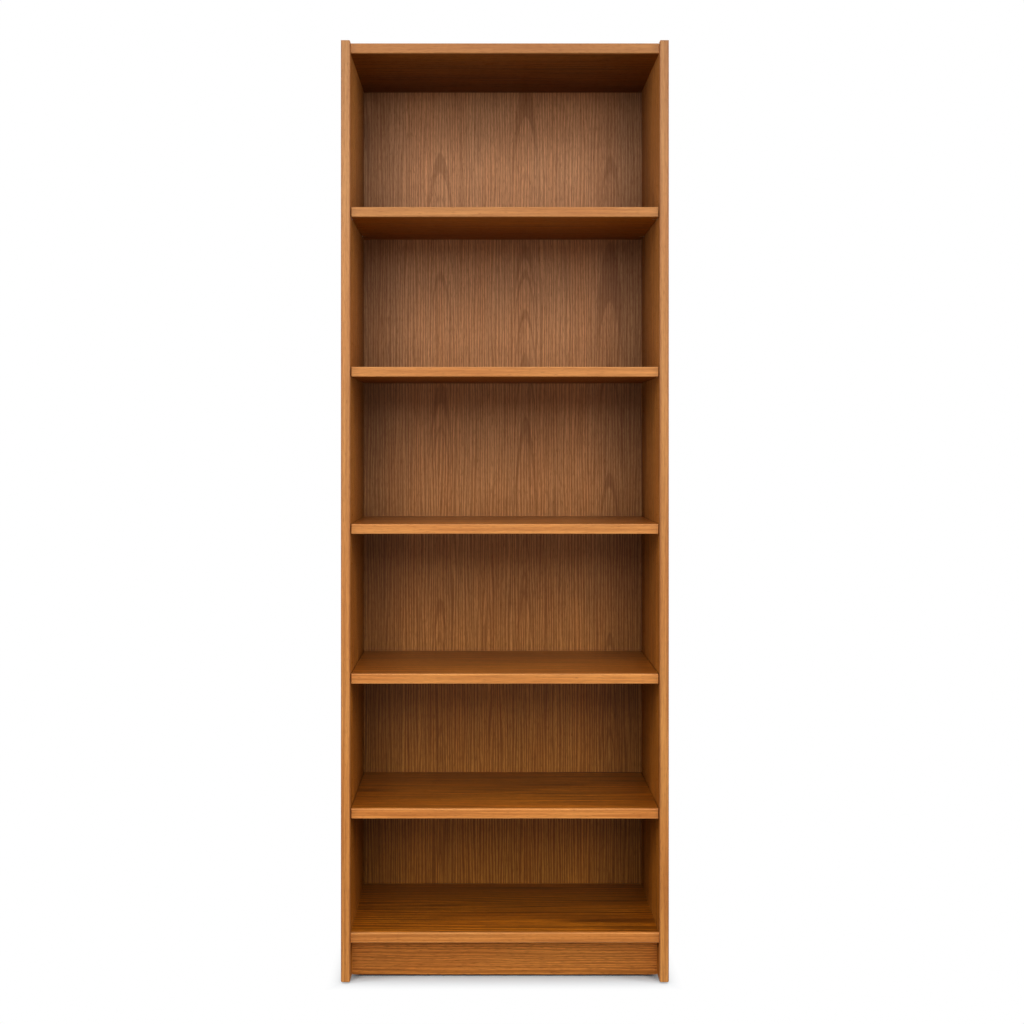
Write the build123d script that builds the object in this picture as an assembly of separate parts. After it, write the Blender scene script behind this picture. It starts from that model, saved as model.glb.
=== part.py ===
from build123d import *
import os

# A tall open bookcase with five adjustable shelves, in millimetres.
# The origin lies on the floor under the middle of the case. X runs to the right and Y to the wall behind.

# Case
clear_width = 600.0  # between the two sides
case_depth = 280.0  # front edges of the sides to the wall
case_height = 1830.0  # floor to the tops of the sides
side_thickness = 18.0
panel_thickness = 19.0  # top, bottom and plinth boards
bottom_height = 78.0  # floor to the underside of the bottom panel
side_rise = 5.0  # sides above the top panel
front_set_back = 4.0  # panels and shelves behind the sides' front edges
plinth_set_back = 36.0  # plinth behind the sides' front edges
lipping_depth = 6.0  # solid edge glued to the front of a board
arris_radius = 1.5  # eased edges of the lippings
foot_radius = 3.0  # long lower corners of the sides
crest_radius = 3.0  # inner upper corner of the sides
rear_ease_radius = 0.8  # rear edges of the sides

# Back panel, held in a rebate of the sides
back_thickness = 5.0
back_recess = 5.0  # back panel in front of the sides' rear edges
rebate_width = 9.0
rebate_play = 0.5

# Shelves and the open height below each, counted from the lowest
shelf_thickness = 19.0
clear_height_1 = 222.0
clear_height_2 = 243.0
clear_height_3 = 272.0
clear_height_4 = 286.5
clear_height_5 = 291.5
shelf_play = 0.5  # between a shelf's end and a pin's collar
shelf_back_gap = 1.0

# Shelf pins and the holes they stand in
pin_hole_diameter = 5.0
pin_hole_depth = 10.0
pin_hole_pitch = 32.0
pin_steps = 2  # spare holes above and below each shelf's own
pin_inset = 37.0  # hole columns behind the front edge and before the back panel
pin_fit = 0.05  # radial
pin_end_gap = 0.5
pin_projection = 9.0
pin_collar_diameter = 7.0
pin_collar_thickness = 1.0
pin_flat_depth = 0.5  # flat on top that carries the shelf
pin_cover = 0.5  # underside of a shelf below its pins
notch_side_gap = 1.5
notch_end_gap = 1.0

# Cam locks and bolts that draw the boards to the sides
cam_diameter = 15.0
cam_distance = 34.0  # centre of a cam from the end of its board
cam_inset = 50.0  # cams behind a board's front edge and before its rear edge
plinth_cam_height = 24.5  # plinth's cams above the floor
cam_fit = 0.1  # radial
cam_sink = 0.3  # cam's face below the board's face
cam_floor = 1.0  # bore below the bolt's head
cam_pocket_gap = 0.4
cam_slot_length = 9.0
cam_slot_width = 1.6
cam_slot_depth = 2.0
cam_socket_diameter = 4.0
cam_socket_depth = 3.0
bolt_shank_diameter = 6.0
bolt_thread_diameter = 5.0
bolt_neck_diameter = 3.5
bolt_neck_length = 4.0
bolt_head_length = 4.0
bolt_fit = 0.05  # radial, thread in the side
bolt_gap = 0.5  # radial, shank in its board
cap_diameter = 18.0
cap_thickness = 1.2
cap_edge_radius = 0.8
cap_stem_gap = 0.1

# Wood dowels beside the cam locks
dowel_diameter = 8.0
dowel_length = 30.0
dowel_fit = 0.1  # radial
joint_pitch = 32.0  # dowel to bolt
joint_wall = 5.0  # wood left in a side behind a dowel or bolt
joint_end_gap = 1.0
lead_chamfer = 1.0  # leading ends of dowels, bolts and pins

# Pan-head wood screws
screw_shank_diameter = 3.0
screw_length = 16.0
screw_head_diameter = 7.0
screw_head_height = 2.2
screw_edge_radius = 1.3
screw_point = 1.0
screw_hole_diameter = 4.0  # through the piece held
screw_fit = 0.05  # radial, in the wood
screw_end_gap = 1.0
screw_slot_length = 4.0
screw_slot_width = 0.9
screw_slot_depth = 1.2
back_screw_inset = 60.0
back_screws_per_side = 7
back_screws_per_panel = 4

# Floor glides nailed under the sides
glide_height = 3.0
glide_diameter = 12.0
glide_edge_radius = 0.8
glide_inset = 25.0
nail_diameter = 2.5
nail_length = 14.0
nail_fit = 0.05  # radial

# Wall brackets on the top panel
bracket_spacing = 400.0
bracket_width = 32.0
bracket_foot = 40.0
bracket_rise = 24.0
bracket_thickness = 2.0
bracket_bend = 1.5  # inside radius
bracket_corner = 5.0
bracket_screw_spacing = 16.0
bracket_screw_inset = 26.0  # from the wall
wall_hole_diameter = 6.0
wall_hole_height = 14.0  # above the top panel

# Places worked out from the sizes above
sides = {"left": -1, "right": 1}
half_clear = clear_width / 2
half_width = half_clear + side_thickness
half_panel = panel_thickness / 2
case_front = -case_depth / 2
case_rear = case_depth / 2
back_rear = case_rear - back_recess
back_front = back_rear - back_thickness
board_front = case_front + front_set_back
plinth_front = case_front + plinth_set_back
bottom_top = bottom_height + panel_thickness

shelf_bottoms = []
level = bottom_top
for clear_height in (clear_height_1, clear_height_2, clear_height_3, clear_height_4, clear_height_5):
    shelf_bottoms.append(level + clear_height)
    level = level + clear_height + shelf_thickness
top_top = case_height - side_rise
top_bottom = top_top - panel_thickness

pin_columns = [case_front + pin_inset, back_front - pin_inset]
pin_lift = pin_cover + pin_hole_diameter / 2  # pin axis above the underside of its shelf
pin_radius = pin_hole_diameter / 2 - pin_fit
pin_flat_height = pin_radius - pin_flat_depth
shelf_end_gap = pin_collar_thickness + shelf_play
notch_depth = pin_lift + pin_flat_height
notch_width = pin_hole_diameter + 2 * notch_side_gap
notch_length = pin_projection - shelf_end_gap + notch_end_gap

bolt_bore_diameter = bolt_shank_diameter + 2 * bolt_gap
cam_bore_depth = half_panel + bolt_shank_diameter / 2 + cam_floor
joint_depth = side_thickness - joint_wall
thread_length = joint_depth - joint_end_gap
dowel_in_board = dowel_length - thread_length
front_cam = board_front + cam_inset
rear_cam = back_front - cam_inset
top_middle = top_bottom + half_panel
bottom_middle = bottom_height + half_panel
plinth_middle = plinth_front + half_panel

# Depth, height and turn about X of each cam lock and each dowel, in the board that it joins
cam_places = {
    "top": [(front_cam, top_middle, 0), (rear_cam, top_middle, 0)],
    "bottom": [(front_cam, bottom_middle, 180), (rear_cam, bottom_middle, 180)],
    "plinth": [(plinth_middle, plinth_cam_height, -90)],
}
dowel_places = {
    "top": [(front_cam + joint_pitch, top_middle, 0), (rear_cam - joint_pitch, top_middle, 0)],
    "bottom": [(front_cam + joint_pitch, bottom_middle, 0), (rear_cam - joint_pitch, bottom_middle, 0)],
    "plinth": [(plinth_middle, plinth_cam_height + joint_pitch, 0)],
}


def block(xs, ys, zs):
    spans = [(min(span), max(span)) for span in (xs, ys, zs)]
    middle = [(low + high) / 2 for low, high in spans]
    return Pos(*middle) * Box(*[high - low for low, high in spans])


def rod(start, end, diameter):
    run = Vector(*end) - Vector(*start)
    base = (Align.CENTER, Align.CENTER, Align.MIN)
    return Plane(origin=start, z_dir=run) * Cylinder(diameter / 2, run.length, align=base)


def turned(points):
    outline = Polyline(*points, close=True)
    return revolve(make_face(outline), Axis.X)


def spaced(first, last, count):
    return [first + (last - first) * step / (count - 1) for step in range(count)]


def group(shapes):
    return Compound([solid for shape in shapes for solid in shape.solids()])


# Local frame of a joint in a side's inner face: +X runs into the side
def side_frame(sign, y, z, tilt=0):
    facing = Rot(0, 0, 0 if sign > 0 else 180)
    return Pos(sign * half_clear, y, z) * facing * Rot(sign * tilt, 0, 0)


def at_side(sign, places, shape):
    return [side_frame(sign, *place) * shape for place in places]


def at_both_sides(places, shape):
    return [copy for sign in sides.values() for copy in at_side(sign, places, shape)]


def all_places(places):
    return [place for board in places.values() for place in board]


# Shelf pins
def pin_places(bottom):
    return [(column, bottom + pin_lift) for column in pin_columns]


# Spare holes stay a pitch clear of the top and bottom panels
def pin_hole_places():
    steps = range(-pin_steps, pin_steps + 1)
    places = [
        (column, height + step * pin_hole_pitch)
        for bottom in shelf_bottoms
        for column, height in pin_places(bottom)
        for step in steps
    ]
    lowest = bottom_top + pin_hole_pitch
    highest = top_bottom - pin_hole_pitch
    return [(column, height) for column, height in places if lowest < height < highest]


def shelf_pin():
    stem_end = pin_hole_depth - pin_end_gap
    pin = turned([
        (stem_end, 0),
        (stem_end, pin_radius - lead_chamfer),
        (stem_end - lead_chamfer, pin_radius),
        (0, pin_radius),
        (0, pin_collar_diameter / 2),
        (-pin_collar_thickness, pin_collar_diameter / 2),
        (-pin_collar_thickness, pin_radius),
        (-pin_projection, pin_radius),
        (-pin_projection, 0),
    ])
    across = (-pin_radius, pin_radius)
    return pin - block((-pin_projection, -pin_collar_thickness), across, (pin_flat_height, pin_radius))


# Cam locks, their bolts and the dowels beside them
def cam_bore():
    face = (-cam_distance, 0, half_panel)
    return rod(face, (-cam_distance, 0, half_panel - cam_bore_depth), cam_diameter)


def cam_lock():
    face = half_panel - cam_sink
    middle = (-cam_distance, 0, face)
    body = rod((-cam_distance, 0, half_panel - cam_bore_depth), middle, cam_diameter - 2 * cam_fit)
    pocket_start = -cam_distance - bolt_head_length / 2 - cam_pocket_gap
    pocket = rod((pocket_start, 0, 0), (0, 0, 0), bolt_shank_diameter + 2 * cam_pocket_gap)
    socket = rod(middle, (-cam_distance, 0, face - cam_socket_depth), cam_socket_diameter)
    slot_middle = Pos(-cam_distance, 0, face - cam_slot_depth / 2)
    slot = Box(cam_slot_length, cam_slot_width, cam_slot_depth)
    slots = [slot_middle * Rot(0, 0, turn) * slot for turn in (0, 90)]
    return body - [pocket, socket, *slots]


def cam_bolt():
    thread_radius = bolt_thread_diameter / 2
    shank_radius = bolt_shank_diameter / 2
    neck_radius = bolt_neck_diameter / 2
    head_start = -cam_distance - bolt_head_length / 2
    neck_start = head_start + bolt_head_length
    neck_end = neck_start + bolt_neck_length
    return turned([
        (thread_length, 0),
        (thread_length, thread_radius - lead_chamfer),
        (thread_length - lead_chamfer, thread_radius),
        (0, thread_radius),
        (0, shank_radius),
        (neck_end, shank_radius),
        (neck_end, neck_radius),
        (neck_start, neck_radius),
        (neck_start, shank_radius),
        (head_start, shank_radius),
        (head_start, 0),
    ])


def bolt_bore():
    return rod((-cam_distance, 0, 0), (0, 0, 0), bolt_bore_diameter)


def bolt_pilot():
    return rod((0, 0, 0), (joint_depth, 0, 0), bolt_thread_diameter + 2 * bolt_fit)


def wood_dowel():
    radius = dowel_diameter / 2
    return turned([
        (thread_length, 0),
        (thread_length, radius - lead_chamfer),
        (thread_length - lead_chamfer, radius),
        (lead_chamfer - dowel_in_board, radius),
        (-dowel_in_board, radius - lead_chamfer),
        (-dowel_in_board, 0),
    ])


def dowel_hole():
    inner_end = -dowel_in_board - joint_end_gap
    return rod((inner_end, 0, 0), (joint_depth, 0, 0), dowel_diameter + 2 * dowel_fit)


def cam_cap():
    disc = rod((-cam_distance, 0, half_panel), (-cam_distance, 0, half_panel + cap_thickness), cap_diameter)
    rim = disc.edges().group_by(Axis.Z)[-1]
    disc = fillet(rim, cap_edge_radius)
    stem_end = half_panel - cam_sink - cam_socket_depth / 2
    stem_diameter = cam_socket_diameter - 2 * cap_stem_gap
    return disc + rod((-cam_distance, 0, half_panel), (-cam_distance, 0, stem_end), stem_diameter)


# Screws, with the head's underside at the origin and the head towards +Z
def wood_screw():
    head = rod((0, 0, 0), (0, 0, screw_head_height), screw_head_diameter)
    rim = head.edges().group_by(Axis.Z)[-1]
    head = fillet(rim, screw_edge_radius)
    shank = rod((0, 0, 0), (0, 0, -screw_length), screw_shank_diameter)
    tip = shank.edges().group_by(Axis.Z)[0]
    shank = chamfer(tip, screw_point)
    slot_middle = Pos(0, 0, screw_head_height - screw_slot_depth / 2)
    slot = Box(screw_slot_length, screw_slot_width, screw_slot_depth)
    slots = [slot_middle * Rot(0, 0, turn) * slot for turn in (0, 90)]
    return head + shank - slots


def back_screw_places():
    side_x = half_clear + rebate_width / 2
    heights = spaced(bottom_height + back_screw_inset, top_top - back_screw_inset, back_screws_per_side)
    across = spaced(back_screw_inset - half_clear, half_clear - back_screw_inset, back_screws_per_panel)
    at_sides = [(sign * side_x, height) for sign in sides.values() for height in heights]
    at_panels = [(x, height) for height in (bottom_middle, top_middle) for x in across]
    return at_sides + at_panels


def back_screw_pilots():
    depth = screw_length - back_thickness + screw_end_gap
    diameter = screw_shank_diameter + 2 * screw_fit
    return [rod((x, back_front, z), (x, back_front - depth, z), diameter) for x, z in back_screw_places()]


def back_screw_holes():
    return [rod((x, back_front, z), (x, back_rear, z), screw_hole_diameter) for x, z in back_screw_places()]


def bracket_middles():
    return [sign * bracket_spacing / 2 for sign in sides.values()]


def bracket_screw_places():
    y = case_rear - bracket_screw_inset
    return [
        (middle + sign * bracket_screw_spacing / 2, y)
        for middle in bracket_middles()
        for sign in sides.values()
    ]


# Sides
def side_block(sign, front, rear):
    body = block((sign * half_clear, sign * half_width), (front, rear), (glide_height, case_height))
    corners = body.edges().filter_by(Axis.Y).group_by(Axis.Z)
    body = fillet(corners[0], foot_radius)
    upper = body.edges().filter_by(Axis.Y).group_by(Axis.Z)[-1]
    inner = upper.sort_by(lambda edge: abs(edge.center().X))[0]
    return fillet(inner, crest_radius)


def side_panel(sign):
    rebate = block(
        (sign * half_clear, sign * (half_clear + rebate_width)),
        (back_front, case_rear),
        (0, case_height),
    )
    body = side_block(sign, case_front + lipping_depth, case_rear) - rebate
    rear_edges = body.edges().filter_by(Axis.Z).group_by(Axis.Y)[-1]
    body = fillet(rear_edges, rear_ease_radius)
    pin_hole = rod((0, 0, 0), (pin_hole_depth, 0, 0), pin_hole_diameter)
    holes = at_side(sign, pin_hole_places(), pin_hole)
    holes += at_side(sign, all_places(cam_places), bolt_pilot())
    holes += at_side(sign, all_places(dowel_places), dowel_hole())
    return body - holes - nail_holes() - back_screw_pilots()


def side_lipping(sign):
    body = side_block(sign, case_front, case_front + lipping_depth)
    front_edges = body.faces().sort_by(Axis.Y)[0].edges()
    return fillet(front_edges, arris_radius)


# Boards between the sides
def lipping(half_length, bottom, thickness):
    span = (-half_length, half_length)
    body = block(span, (board_front, board_front + lipping_depth), (bottom, bottom + thickness))
    front_edges = body.faces().sort_by(Axis.Y)[0].edges()
    return fillet(front_edges, arris_radius)


def end_joint_cuts(board):
    cuts = at_both_sides(cam_places[board], cam_bore())
    cuts += at_both_sides(cam_places[board], bolt_bore())
    return cuts + at_both_sides(dowel_places[board], dowel_hole())


def fixed_panel(board, bottom):
    depth = (board_front + lipping_depth, back_front)
    body = block((-half_clear, half_clear), depth, (bottom, bottom + panel_thickness))
    return body - end_joint_cuts(board) - back_screw_pilots()


def top_panel():
    depth = screw_length - bracket_thickness + screw_end_gap
    diameter = screw_shank_diameter + 2 * screw_fit
    pilots = [rod((x, y, top_top), (x, y, top_top - depth), diameter) for x, y in bracket_screw_places()]
    return fixed_panel("top", top_bottom) - pilots


def plinth_board():
    depth = (plinth_front, plinth_front + panel_thickness)
    body = block((-half_clear, half_clear), depth, (glide_height, bottom_height))
    return body - end_joint_cuts("plinth")


def shelf_board(bottom):
    half_length = half_clear - shelf_end_gap
    depth = (board_front + lipping_depth, back_front - shelf_back_gap)
    body = block((-half_length, half_length), depth, (bottom, bottom + shelf_thickness))
    notches = []
    for sign in sides.values():
        for column in pin_columns:
            span = (sign * half_length, sign * (half_length - notch_length))
            width = (column - notch_width / 2, column + notch_width / 2)
            notches.append(block(span, width, (bottom, bottom + notch_depth)))
    return body - notches


def shelf_lipping(bottom):
    return lipping(half_clear - shelf_end_gap, bottom, shelf_thickness)


def back_panel():
    half_span = half_clear + rebate_width - rebate_play
    sheet = block((-half_span, half_span), (back_front, back_rear), (bottom_height, top_top))
    return sheet - back_screw_holes()


# Floor glides
def glide_places():
    x = half_clear + side_thickness / 2
    depths = (case_front + glide_inset, case_rear - glide_inset)
    return [(sign * x, y) for sign in sides.values() for y in depths]


def nail_holes():
    top = glide_height + nail_length + joint_end_gap
    diameter = nail_diameter + 2 * nail_fit
    return [rod((x, y, glide_height), (x, y, top), diameter) for x, y in glide_places()]


def floor_glide(x, y):
    pad = rod((x, y, 0), (x, y, glide_height), glide_diameter)
    rim = pad.edges().group_by(Axis.Z)[0]
    pad = fillet(rim, glide_edge_radius)
    return pad + rod((x, y, glide_height), (x, y, glide_height + nail_length), nail_diameter)


# Wall brackets
def wall_bracket(middle):
    width = (middle - bracket_width / 2, middle + bracket_width / 2)
    inner_y = case_rear - bracket_thickness
    upper = top_top + bracket_thickness
    foot = block(width, (case_rear - bracket_foot, case_rear), (top_top, upper))
    riser = block(width, (inner_y, case_rear), (top_top, top_top + bracket_rise))
    body = foot + riser
    bend = body.edges().filter_by(Axis.X)
    body = fillet(bend.sort_by_distance((middle, inner_y, upper))[0], bracket_bend)
    bend = body.edges().filter_by(Axis.X)
    body = fillet(bend.sort_by_distance((middle, case_rear, top_top))[0], bracket_bend + bracket_thickness)
    body = fillet(body.edges().filter_by(Axis.Z).group_by(Axis.Y)[0], bracket_corner)
    body = fillet(body.edges().filter_by(Axis.Y).group_by(Axis.Z)[-1], bracket_corner)
    wall_height = top_top + wall_hole_height
    holes = [rod((middle, inner_y, wall_height), (middle, case_rear, wall_height), wall_hole_diameter)]
    for x, y in bracket_screw_places():
        holes.append(rod((x, y, top_top), (x, y, upper), screw_hole_diameter))
    return body - holes


nodes = {
    "top_panel": top_panel(),
    "top_lipping": lipping(half_clear, top_bottom, panel_thickness),
    "bottom_panel": fixed_panel("bottom", bottom_height),
    "bottom_lipping": lipping(half_clear, bottom_height, panel_thickness),
    "plinth_board": plinth_board(),
    "back_panel": back_panel(),
    "back_panel_screws": group(
        Pos(x, back_rear, z) * Rot(-90, 0, 0) * wood_screw() for x, z in back_screw_places()
    ),
    "cam_locks": group(at_both_sides(all_places(cam_places), cam_lock())),
    "cam_bolts": group(at_both_sides(all_places(cam_places), cam_bolt())),
    "cam_caps": group(at_both_sides(cam_places["top"], cam_cap())),
    "wood_dowels": group(at_both_sides(all_places(dowel_places), wood_dowel())),
    "floor_glides": group(floor_glide(x, y) for x, y in glide_places()),
    "wall_brackets": group(wall_bracket(middle) for middle in bracket_middles()),
    "wall_bracket_screws": group(
        Pos(x, y, top_top + bracket_thickness) * wood_screw() for x, y in bracket_screw_places()
    ),
}
for name, sign in sides.items():
    nodes[f"{name}_side_panel"] = side_panel(sign)
    nodes[f"{name}_side_lipping"] = side_lipping(sign)
for number, bottom in enumerate(shelf_bottoms, start=1):
    nodes[f"shelf_{number}_board"] = shelf_board(bottom)
    nodes[f"shelf_{number}_lipping"] = shelf_lipping(bottom)
    nodes[f"shelf_{number}_pins"] = group(at_both_sides(pin_places(bottom), shelf_pin()))

os.makedirs("parts", exist_ok=True)
for name, shape in nodes.items():
    export_step(shape, f"parts/{name}.step")
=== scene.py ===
import math
import bmesh
import bpy
from mathutils import Matrix, Vector


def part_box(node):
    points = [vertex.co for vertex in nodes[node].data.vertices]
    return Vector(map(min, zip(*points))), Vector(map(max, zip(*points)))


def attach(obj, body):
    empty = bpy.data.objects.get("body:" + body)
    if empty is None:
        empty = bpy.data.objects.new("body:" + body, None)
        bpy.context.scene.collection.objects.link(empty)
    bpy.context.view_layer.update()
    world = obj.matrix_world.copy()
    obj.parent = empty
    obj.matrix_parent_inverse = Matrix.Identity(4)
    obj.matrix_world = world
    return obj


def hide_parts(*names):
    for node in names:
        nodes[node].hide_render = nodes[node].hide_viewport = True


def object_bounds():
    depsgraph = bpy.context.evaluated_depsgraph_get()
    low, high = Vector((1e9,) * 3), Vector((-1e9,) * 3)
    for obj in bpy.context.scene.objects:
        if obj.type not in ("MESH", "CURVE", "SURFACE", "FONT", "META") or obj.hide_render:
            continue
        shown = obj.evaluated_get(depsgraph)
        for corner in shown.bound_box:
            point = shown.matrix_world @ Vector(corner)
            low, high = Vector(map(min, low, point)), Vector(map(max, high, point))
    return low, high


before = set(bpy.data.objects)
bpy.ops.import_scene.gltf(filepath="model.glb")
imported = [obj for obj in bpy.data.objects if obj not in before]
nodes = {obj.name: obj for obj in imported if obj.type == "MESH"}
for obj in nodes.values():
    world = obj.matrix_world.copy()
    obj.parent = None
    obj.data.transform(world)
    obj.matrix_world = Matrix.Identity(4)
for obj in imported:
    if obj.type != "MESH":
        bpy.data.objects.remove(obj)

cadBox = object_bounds()  # the solids' own box, before anything is dressed
scene = bpy.context.scene
print("frame:", len(nodes), "solid nodes")


# An output socket. Sums written on wires become Math nodes in the wire's own tree.
class Wire:
    def __init__(self, tree, socket=None):
        self.tree = tree
        self.socket = socket

    # Any node: its settings first, then values or wires into its sockets
    def add(self, kind, settings={}, inputs={}, output=0):
        node = self.tree.nodes.new(kind)
        for name, value in settings.items():
            if name == "index_switch_items":
                while len(node.index_switch_items) < value:
                    node.index_switch_items.new()
            else:
                setattr(node, name, value)
        for key, value in inputs.items():
            for one in value if isinstance(value, list) else [value]:
                if isinstance(one, Wire):
                    self.tree.links.new(one.socket, node.inputs[key])
                else:
                    node.inputs[key].default_value = one
        return Wire(self.tree, node.outputs[output]) if node.outputs else None

    def other(self, output):
        return Wire(self.tree, self.socket.node.outputs[output])

    def math(self, operation, *values):
        return self.add("ShaderNodeMath", {"operation": operation}, dict(enumerate(values)))

    def __add__(self, value):
        return self.math("ADD", self, value)

    def __sub__(self, value):
        return self.math("SUBTRACT", self, value)

    def __rsub__(self, value):
        return self.math("SUBTRACT", value, self)

    def __mul__(self, value):
        return self.math("MULTIPLY", self, value)

    def __truediv__(self, value):
        return self.math("DIVIDE", self, value)

    def __rtruediv__(self, value):
        return self.math("DIVIDE", value, self)

    __radd__ = __add__
    __rmul__ = __mul__


# Colours: as a screen shows them, made linear, or as plain multipliers
def paint(red, green, blue):
    shares = [value / 255 for value in (red, green, blue)]
    return (*[s / 12.92 if s <= 0.04045 else ((s + 0.055) / 1.055) ** 2.4 for s in shares], 1.0)


def tint(red, green, blue):
    return (red, green, blue, 1.0)


def grey(level):
    return tint(level, level, level)


# Small words that every finish uses
def blendColours(factor, first, second):
    return factor.add("ShaderNodeMix", {"data_type": "RGBA"}, {0: factor, 6: first, 7: second}, output=2)


def tinted(colour, shade):
    settings = {"data_type": "RGBA", "blend_type": "MULTIPLY"}
    return colour.add("ShaderNodeMix", settings, {0: 1.0, 6: colour, 7: shade}, output=2)


def ease(value, low, high):
    values = {"Value": value, "From Min": low, "From Max": high}
    return value.add("ShaderNodeMapRange", {"interpolation_type": "SMOOTHSTEP"}, values)


def vectorOf(wire, x=0.0, y=0.0, z=0.0):
    return wire.add("ShaderNodeCombineXYZ", {}, {0: x, 1: y, 2: z})


def scaled(vector, factors):
    return vector.add("ShaderNodeVectorMath", {"operation": "MULTIPLY"}, {0: vector, 1: factors})


def moved(vector, offset):
    return vector.add("ShaderNodeVectorMath", {"operation": "ADD"}, {0: vector, 1: offset})


def noise(vector, scale, detail=1.0, roughness=0.5, output="Fac"):
    values = {"Vector": vector, "Scale": scale, "Detail": detail, "Roughness": roughness}
    return vector.add("ShaderNodeTexNoise", {}, values, output)


def chance(value):
    return value.add("ShaderNodeTexWhiteNoise", {"noise_dimensions": "1D"}, {"W": value}, "Value")


def splitUp(vector):
    x = vector.add("ShaderNodeSeparateXYZ", {}, {0: vector})
    return {"x": x, "y": x.other(1), "z": x.other(2)}


def startMaterial(name):
    material = bpy.data.materials.new(name)
    material.use_nodes = True
    material.node_tree.nodes.clear()
    return material, Wire(material.node_tree)


def closeMaterial(start, shader):
    start.add("ShaderNodeOutputMaterial", {}, {"Surface": shader})


def bumped(height, depth, strength):
    return height.add("ShaderNodeBump", {}, {"Height": height, "Distance": depth, "Strength": strength})


# Woods. Fine lines run along the board, and arches stand over the pith where it slopes out of the face.
# Painted light and shade: each of a wood's fades is a direction, a stretch along it and the tints at both
# ends, lighter where the lamps reach and darker where shade falls.
plain = grey(1.0)
overHeight = (0.0, 1.8)  # metres, like the other stretches
overDepth = (-0.13, 0.13)
towardsSides = (0.15, 0.30)  # up to the inner faces of the sides
sideTops = (1.45, 1.83)
plinthRise = (0.035, 0.080)
undersides = (-0.006, -0.003)  # from the board's middle
backVeneer = {
    "light": paint(212, 156, 100),
    "dark": paint(124, 77, 40),
    "warm": paint(212, 145, 85),
    "pore": paint(92, 54, 27),
    "paintedLight": [
        # painted light: lighter and bluer high up, darker and warmer low down
        ("z", overHeight, tint(0.88, 0.68, 0.26), tint(1.13, 1.14, 1.36)),
        # painted shade: darker towards the sides, where they shade the back
        ("beside", towardsSides, plain, tint(0.62, 0.61, 0.60)),
    ],
    "lineWidth": 0.0021,
    "lineReach": 5.0,  # how soon a line changes along its run
    "lineDepth": 0.84,
    "lineFade": 0.19,  # loss of contrast for each metre of height
    "lineEdge": (0.35, 0.66),  # soft lines; a narrow span gives thin dark strokes
    "ringWidth": 0.0060,  # even growth, which lies under the chance of the lines
    "ringShare": 0.45,
    "ringDrift": 3.0,  # how unevenly they follow each other
    "dashDepth": 0.34,
    "archWidth": 0.0028,
    "archReach": 0.042,
    "archDepth": 0.42,
    "pithDepth": 0.035,
    "pithSlope": 0.045,
    "leafWidth": 0.183,  # leaves of veneer laid side by side
    "leafStart": -0.135,  # middle of one leaf
    "sway": 0.0035,
    "quiver": 0.0011,
    "poreDepth": 0.35,
    "gloss": 0.16,
    "roughness": 0.46,
    "lacquer": 0.0,
}
boardVeneer = {
    **backVeneer,
    "light": paint(190, 120, 48),
    "dark": paint(62, 31, 8),
    "warm": paint(164, 90, 29),
    "pore": paint(46, 21, 6),
    "paintedLight": [
        # painted light: lighter high up, darker and warmer low down
        ("z", overHeight, tint(1.05, 0.83, 0.18), tint(1.42, 1.34, 1.40)),
        # painted shade: lighter at the front, darker towards the rear
        ("y", overDepth, grey(1.14), grey(0.77)),
        # painted shade: the undersides darker
        ("inward", undersides, tint(0.60, 0.50, 0.02), plain),
    ],
    "lineWidth": 0.0036,
    "lineReach": 2.6,
    "lineDepth": 0.86,
    "ringWidth": 0.0095,
    "ringShare": 0.42,
    "ringDrift": 5.0,
    "archDepth": 0.0,
    "leafWidth": 3.0,
    "leafStart": -0.36,  # the pith lies well aside, so the grain is straight
    "sway": 0.010,
    "quiver": 0.0016,
    "lacquer": 0.7,  # on upper faces; undersides are only stained
}
topVeneer = {
    **boardVeneer,
    # painted shade: the underside darker still
    "paintedLight": boardVeneer["paintedLight"] + [("inward", undersides, tint(0.52, 0.50, 0.28), plain)],
    "lacquer": 0.10,
}
sideVeneer = {
    **boardVeneer,
    "light": paint(168, 105, 41),
    "dark": paint(78, 41, 12),
    "warm": paint(144, 77, 24),
    "paintedLight": [
        # painted light by height, and painted shade towards the rear
        ("z", overHeight, tint(0.97, 0.83, 0.36), tint(0.95, 1.01, 1.36)),
        ("y", overDepth, grey(1.14), grey(0.80)),
    ],
    "lineWidth": 0.0046,
    "lineReach": 4.0,
    "lineDepth": 0.74,
    "ringShare": 0.0,
    "archDepth": 0.28,
    "pithDepth": 0.045,
    "pithSlope": 0.042,
    "leafWidth": 0.155,
    "leafStart": -0.055,
    "sway": 0.006,
    "lacquer": 0.0,
}
plinthVeneer = {
    **boardVeneer,
    "light": paint(225, 141, 60),
    "dark": paint(156, 86, 31),
    "warm": paint(216, 123, 46),
    # painted light: lighter towards the top, against the shade under the bottom panel
    "paintedLight": [("z", plinthRise, grey(0.94), grey(1.75))],
    "lineWidth": 0.0022,
    "lineReach": 4.0,
    "lineDepth": 0.76,
    "ringWidth": 0.0054,
    "ringShare": 0.45,
    "ringDrift": 3.0,
    "quiver": 0.0024,
    "lacquer": 0.0,
}
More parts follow.
